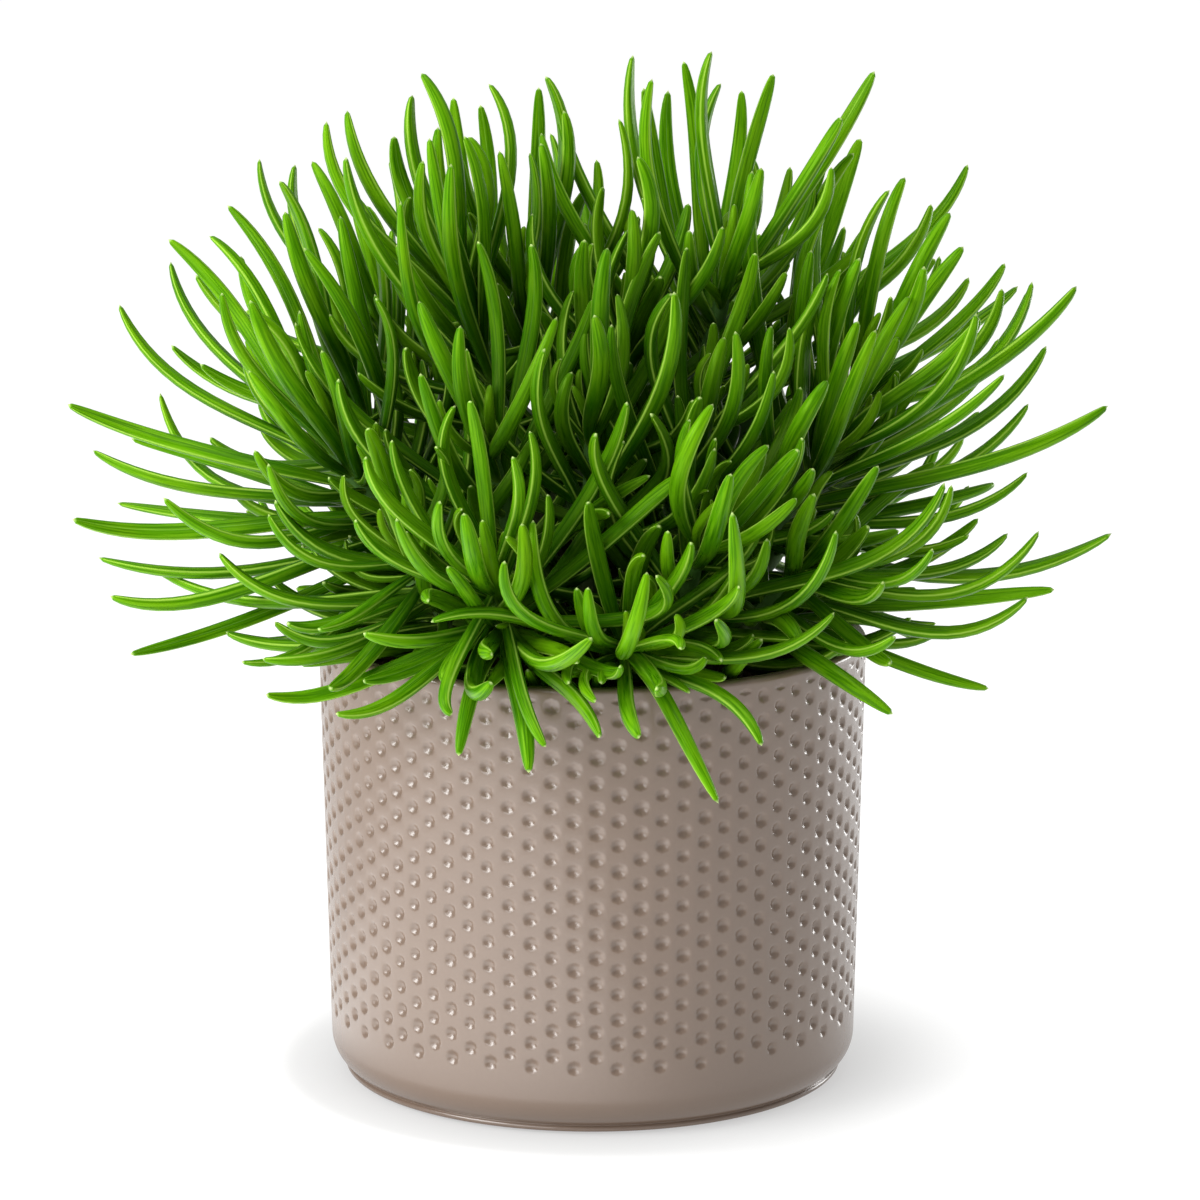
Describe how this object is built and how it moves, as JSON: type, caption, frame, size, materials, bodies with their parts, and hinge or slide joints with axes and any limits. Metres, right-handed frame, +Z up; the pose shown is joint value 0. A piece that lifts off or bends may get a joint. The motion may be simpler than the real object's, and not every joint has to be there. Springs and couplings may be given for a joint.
{
  "type": "potted succulent",
  "caption": "Bushy succulent of upright, finger-like green leaves on leaning stems, in a tapered round ceramic pot with soil.",
  "frame": {"origin": "middle of the pot's flat underside", "axes": "+Z up, -Y towards the front that the picture shows, +X to the right in that view"},
  "size_m": [0.28, 0.2295, 0.28],
  "materials": {
    "pot_ceramic": "satin taupe glaze over a dimpled wall",
    "potting_soil": "rough, dark potting soil",
    "leaf": "waxy satin green with paler edges and tips"
  },
  "bodies": {
    "root": {"pot": "pot_ceramic", "soil": "potting_soil", "leafy_stem_left": "leaf", "leafy_stem_left_upper": "leaf", "leafy_stem_left_rear": "leaf", "leafy_stem_top_left": "leaf", "leafy_stem_top": "leaf", "leafy_stem_top_right": "leaf", "leafy_stem_right_rear": "leaf", "leafy_stem_right_upper": "leaf", "leafy_stem_right": "leaf", "leafy_stem_middle_right": "leaf", "leafy_stem_middle": "leaf", "leafy_stem_middle_left": "leaf", "leafy_stem_front_left": "leaf", "leafy_stem_front": "leaf", "leafy_stem_front_right": "leaf", "leafy_stem_right_low": "leaf", "leafy_stem_left_low": "leaf", "leafy_stem_inner": "leaf", "leafy_stem_back_left": "leaf", "leafy_stem_back": "leaf", "leafy_stem_back_right": "leaf", "leafy_stem_back_low": "leaf", "leafy_stem_back_upper_left": "leaf", "leafy_stem_back_upper_right": "leaf"}
  },
  "joints": []
}
